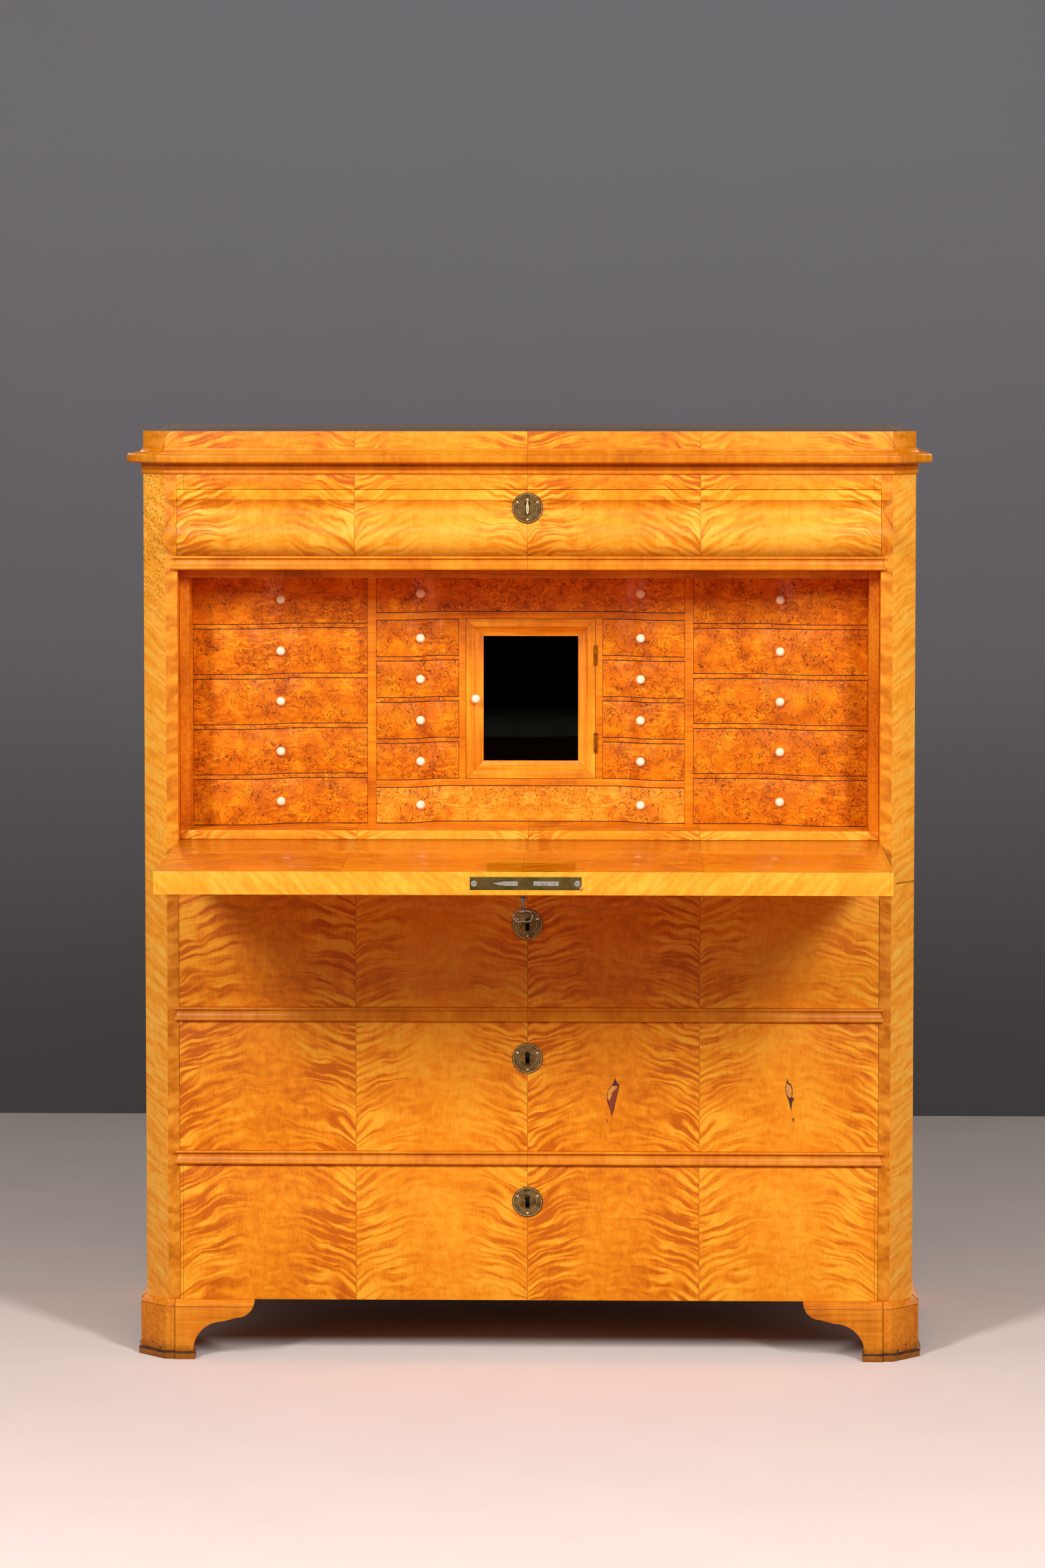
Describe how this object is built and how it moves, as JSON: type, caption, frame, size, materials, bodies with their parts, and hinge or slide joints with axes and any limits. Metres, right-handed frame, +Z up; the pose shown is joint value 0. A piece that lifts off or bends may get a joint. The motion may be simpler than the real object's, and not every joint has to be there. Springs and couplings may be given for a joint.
{
  "type": "fall front secretaire",
  "caption": "Fall front secretaire on bracket feet: canted case, long drawers, an ogee frieze drawer and a serpentine nest of small drawers round a mirrored door.",
  "frame": {"origin": "on the floor, midway across the width and midway along the whole depth with the fall open", "axes": "+Z up, +X to the sitter's right, -Y towards the sitter"},
  "size_m": [1.207, 0.9488, 1.4],
  "materials": {
    "birch": "figured birch veneer under shellac polish",
    "burr": "burr birch veneer under shellac polish",
    "pine": "plain softwood, unpolished",
    "brass": "stamped, toned dark with bright high spots",
    "steel": "dark worn steel",
    "mirror": "old dark mirror glass",
    "bone": "turned bone, polished"
  },
  "bodies": {
    "case": {"attic_boards": "birch", "back_feet": "birch", "back_frame": "pine", "back_panels": "pine", "bottom_board": "pine", "case_sides": "birch", "corner_posts": "birch", "cornice_moulding": "birch", "drawer_guides": "pine", "dust_boards": "pine", "frieze_rail": "birch", "front_feet": "birch", "nest_bearers": "pine", "nest_case": "birch", "nest_dividers": "birch", "rail_mouldings": "birch", "top_board": "pine"},
    "fall": {"fall_panel": "birch", "fall_lock": "steel", "fall_escutcheon": "brass", "fall_pivots": "steel"},
    "lock_bolts": {"lock_bolts": "steel"},
    "fall_key": {"fall_key": "steel"},
    "frieze_drawer": {"frieze_drawer_front": "birch", "frieze_drawer_box": "pine", "frieze_fittings": "brass"},
    "keyhole_cover": {"keyhole_cover": "brass"},
    "door": {"door_frame": "birch", "door_mirror": "mirror", "door_hinges": "brass", "door_knob": "bone"},
    "drawer_1": {"drawer_1_front": "birch", "drawer_1_box": "pine", "drawer_1_fittings": "brass"},
    "drawer_2": {"drawer_2_front": "birch", "drawer_2_box": "pine", "drawer_2_fittings": "brass"},
    "drawer_3": {"drawer_3_front": "birch", "drawer_3_box": "pine", "drawer_3_fittings": "brass"},
    "nest_left_drawer_1": {"nest_left_drawer_1": "burr"},
    "nest_left_drawer_2": {"nest_left_drawer_2": "burr"},
    "nest_left_drawer_3": {"nest_left_drawer_3": "burr"},
    "nest_left_drawer_4": {"nest_left_drawer_4": "burr"},
    "nest_left_drawer_5": {"nest_left_drawer_5": "burr"},
    "nest_right_drawer_1": {"nest_right_drawer_1": "burr"},
    "nest_right_drawer_2": {"nest_right_drawer_2": "burr"},
    "nest_right_drawer_3": {"nest_right_drawer_3": "burr"},
    "nest_right_drawer_4": {"nest_right_drawer_4": "burr"},
    "nest_right_drawer_5": {"nest_right_drawer_5": "burr"},
    "small_left_drawer_1": {"small_left_drawer_1": "burr"},
    "small_left_drawer_2": {"small_left_drawer_2": "burr"},
    "small_left_drawer_3": {"small_left_drawer_3": "burr"},
    "small_left_drawer_4": {"small_left_drawer_4": "burr"},
    "small_right_drawer_1": {"small_right_drawer_1": "burr"},
    "small_right_drawer_2": {"small_right_drawer_2": "burr"},
    "small_right_drawer_3": {"small_right_drawer_3": "burr"},
    "small_right_drawer_4": {"small_right_drawer_4": "burr"},
    "wide_top_drawer": {"wide_top_drawer": "burr"},
    "wide_bottom_drawer": {"wide_bottom_drawer": "burr"}
  },
  "joints": [
    {"name": "fall_hinge", "type": "hinge", "parent": "case", "child": "fall", "pos_m": [0, -0.04905, 0.7675], "axis": [1, 0, 0], "range_deg": [-90, 0]},
    {"name": "bolt_throw", "type": "slide", "parent": "fall", "child": "lock_bolts", "axis": [0, -1, 0], "range_m": [0, 0.009]},
    {"name": "key_turn", "type": "hinge", "parent": "fall", "child": "fall_key", "pos_m": [-0.0015, -0.40055, 0.7675], "axis": [0, 0, 1], "range_deg": [0, 360]},
    {"name": "frieze_drawer_slide", "type": "slide", "parent": "case", "child": "frieze_drawer", "axis": [0, -1, 0], "range_m": [0, 0.3]},
    {"name": "cover_swing", "type": "hinge", "parent": "frieze_drawer", "child": "keyhole_cover", "pos_m": [-0.0015, -0.07485, 1.29778], "axis": [0, 1, 0], "range_deg": [-70, 70]},
    {"name": "drawer_1_slide", "type": "slide", "parent": "case", "child": "drawer_1", "axis": [0, -1, 0], "range_m": [0, 0.3]},
    {"name": "drawer_2_slide", "type": "slide", "parent": "case", "child": "drawer_2", "axis": [0, -1, 0], "range_m": [0, 0.3]},
    {"name": "drawer_3_slide", "type": "slide", "parent": "case", "child": "drawer_3", "axis": [0, -1, 0], "range_m": [0, 0.3]},
    {"name": "door_hinge", "type": "hinge", "parent": "case", "child": "door", "pos_m": [0.0994, 0.10365, 0.98665], "axis": [0, 0, 1], "range_deg": [0, 90]},
    {"name": "nest_left_drawer_1_slide", "type": "slide", "parent": "case", "child": "nest_left_drawer_1", "axis": [0, -1, 0], "range_m": [0, 0.2]},
    {"name": "nest_left_drawer_2_slide", "type": "slide", "parent": "case", "child": "nest_left_drawer_2", "axis": [0, -1, 0], "range_m": [0, 0.2]},
    {"name": "nest_left_drawer_3_slide", "type": "slide", "parent": "case", "child": "nest_left_drawer_3", "axis": [0, -1, 0], "range_m": [0, 0.2]},
    {"name": "nest_left_drawer_4_slide", "type": "slide", "parent": "case", "child": "nest_left_drawer_4", "axis": [0, -1, 0], "range_m": [0, 0.2]},
    {"name": "nest_left_drawer_5_slide", "type": "slide", "parent": "case", "child": "nest_left_drawer_5", "axis": [0, -1, 0], "range_m": [0, 0.2]},
    {"name": "nest_right_drawer_1_slide", "type": "slide", "parent": "case", "child": "nest_right_drawer_1", "axis": [0, -1, 0], "range_m": [0, 0.2]},
    {"name": "nest_right_drawer_2_slide", "type": "slide", "parent": "case", "child": "nest_right_drawer_2", "axis": [0, -1, 0], "range_m": [0, 0.2]},
    {"name": "nest_right_drawer_3_slide", "type": "slide", "parent": "case", "child": "nest_right_drawer_3", "axis": [0, -1, 0], "range_m": [0, 0.2]},
    {"name": "nest_right_drawer_4_slide", "type": "slide", "parent": "case", "child": "nest_right_drawer_4", "axis": [0, -1, 0], "range_m": [0, 0.2]},
    {"name": "nest_right_drawer_5_slide", "type": "slide", "parent": "case", "child": "nest_right_drawer_5", "axis": [0, -1, 0], "range_m": [0, 0.2]},
    {"name": "small_left_drawer_1_slide", "type": "slide", "parent": "case", "child": "small_left_drawer_1", "axis": [0, -1, 0], "range_m": [0, 0.12]},
    {"name": "small_left_drawer_2_slide", "type": "slide", "parent": "case", "child": "small_left_drawer_2", "axis": [0, -1, 0], "range_m": [0, 0.12]},
    {"name": "small_left_drawer_3_slide", "type": "slide", "parent": "case", "child": "small_left_drawer_3", "axis": [0, -1, 0], "range_m": [0, 0.12]},
    {"name": "small_left_drawer_4_slide", "type": "slide", "parent": "case", "child": "small_left_drawer_4", "axis": [0, -1, 0], "range_m": [0, 0.12]},
    {"name": "small_right_drawer_1_slide", "type": "slide", "parent": "case", "child": "small_right_drawer_1", "axis": [0, -1, 0], "range_m": [0, 0.12]},
    {"name": "small_right_drawer_2_slide", "type": "slide", "parent": "case", "child": "small_right_drawer_2", "axis": [0, -1, 0], "range_m": [0, 0.12]},
    {"name": "small_right_drawer_3_slide", "type": "slide", "parent": "case", "child": "small_right_drawer_3", "axis": [0, -1, 0], "range_m": [0, 0.12]},
    {"name": "small_right_drawer_4_slide", "type": "slide", "parent": "case", "child": "small_right_drawer_4", "axis": [0, -1, 0], "range_m": [0, 0.12]},
    {"name": "wide_top_drawer_slide", "type": "slide", "parent": "case", "child": "wide_top_drawer", "axis": [0, -1, 0], "range_m": [0, 0.15]},
    {"name": "wide_bottom_drawer_slide", "type": "slide", "parent": "case", "child": "wide_bottom_drawer", "axis": [0, -1, 0], "range_m": [0, 0.15]}
  ],
  "couplings": [
    {"joint": "key_turn", "follows": "bolt_throw", "rad_per_m": 698.13}
  ]
}
